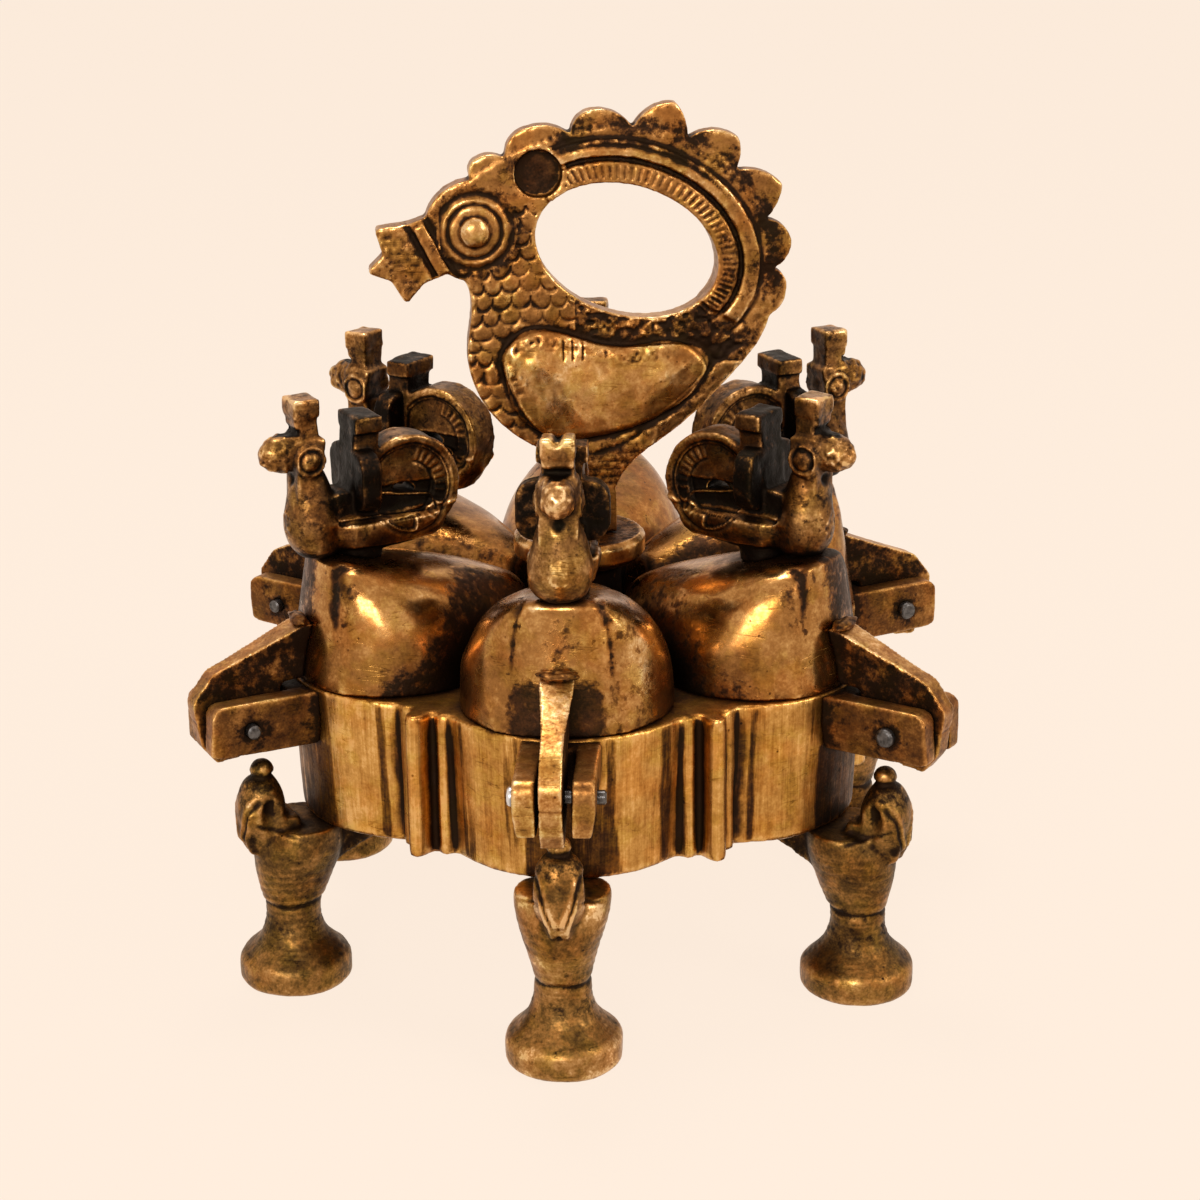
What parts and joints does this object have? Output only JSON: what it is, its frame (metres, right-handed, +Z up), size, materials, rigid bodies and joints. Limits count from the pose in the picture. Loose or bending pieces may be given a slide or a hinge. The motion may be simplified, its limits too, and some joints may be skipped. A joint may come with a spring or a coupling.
{
  "type": "sindoor box",
  "caption": "Lobed brass box on legs with petal-shaped cups under hinged domed lids, a bird on each lid and a peacock handle with a finger hole.",
  "frame": {"origin": "on the box's upright axis, level with the undersides of the feet", "axes": "+Z up; -Y towards the front lobe; +X to the right of it, where the peacock's tail is"},
  "size_m": [0.1334, 0.149, 0.1514],
  "materials": {
    "body_brass": "rubbed antique brass, near black in the grooves",
    "lid_brass": "burnished cast brass with small dark pits",
    "bird_brass": "dark brown cast brass, bright on the rubbed edges",
    "leg_brass": "rough cast brass, brown in the hollows",
    "handle_brass": "antique cast brass with dark lines",
    "arm_brass": "filed brass",
    "pin_iron": "dark iron wire"
  },
  "bodies": {
    "box": {"box_body": "body_brass", "handle_disc": "handle_brass", "peacock_handle": "handle_brass", "front_hinge_bracket": "arm_brass", "front_hinge_pin": "pin_iron", "front_leg": "leg_brass", "front_right_hinge_bracket": "arm_brass", "front_right_hinge_pin": "pin_iron", "front_right_leg": "leg_brass", "back_right_hinge_bracket": "arm_brass", "back_right_hinge_pin": "pin_iron", "back_right_leg": "leg_brass", "back_hinge_bracket": "arm_brass", "back_hinge_pin": "pin_iron", "back_leg": "leg_brass", "back_left_hinge_bracket": "arm_brass", "back_left_hinge_pin": "pin_iron", "back_left_leg": "leg_brass", "front_left_hinge_bracket": "arm_brass", "front_left_hinge_pin": "pin_iron", "front_left_leg": "leg_brass"},
    "front_lid_body": {"front_lid": "lid_brass", "front_bird": "bird_brass", "front_hinge_arm": "arm_brass"},
    "front_right_lid_body": {"front_right_lid": "lid_brass", "front_right_bird": "bird_brass", "front_right_hinge_arm": "arm_brass"},
    "back_right_lid_body": {"back_right_lid": "lid_brass", "back_right_bird": "bird_brass", "back_right_hinge_arm": "arm_brass"},
    "back_lid_body": {"back_lid": "lid_brass", "back_bird": "bird_brass", "back_hinge_arm": "arm_brass"},
    "back_left_lid_body": {"back_left_lid": "lid_brass", "back_left_bird": "bird_brass", "back_left_hinge_arm": "arm_brass"},
    "front_left_lid_body": {"front_left_lid": "lid_brass", "front_left_bird": "bird_brass", "front_left_hinge_arm": "arm_brass"}
  },
  "joints": [
    {"name": "front_lid_hinge", "type": "hinge", "parent": "box", "child": "front_lid_body", "pos_m": [0, -0.066, 0.051], "axis": [1, 0, 0], "range_deg": [0, 100]},
    {"name": "front_right_lid_hinge", "type": "hinge", "parent": "box", "child": "front_right_lid_body", "pos_m": [0.05716, -0.033, 0.051], "axis": [0.5, 0.866, 0], "range_deg": [0, 100]},
    {"name": "back_right_lid_hinge", "type": "hinge", "parent": "box", "child": "back_right_lid_body", "pos_m": [0.05716, 0.033, 0.051], "axis": [-0.5, 0.866, 0], "range_deg": [0, 100]},
    {"name": "back_lid_hinge", "type": "hinge", "parent": "box", "child": "back_lid_body", "pos_m": [0, 0.066, 0.051], "axis": [-1, 0, 0], "range_deg": [0, 100]},
    {"name": "back_left_lid_hinge", "type": "hinge", "parent": "box", "child": "back_left_lid_body", "pos_m": [-0.05716, 0.033, 0.051], "axis": [-0.5, -0.866, 0], "range_deg": [0, 100]},
    {"name": "front_left_lid_hinge", "type": "hinge", "parent": "box", "child": "front_left_lid_body", "pos_m": [-0.05716, -0.033, 0.051], "axis": [0.5, -0.866, 0], "range_deg": [0, 100]}
  ]
}
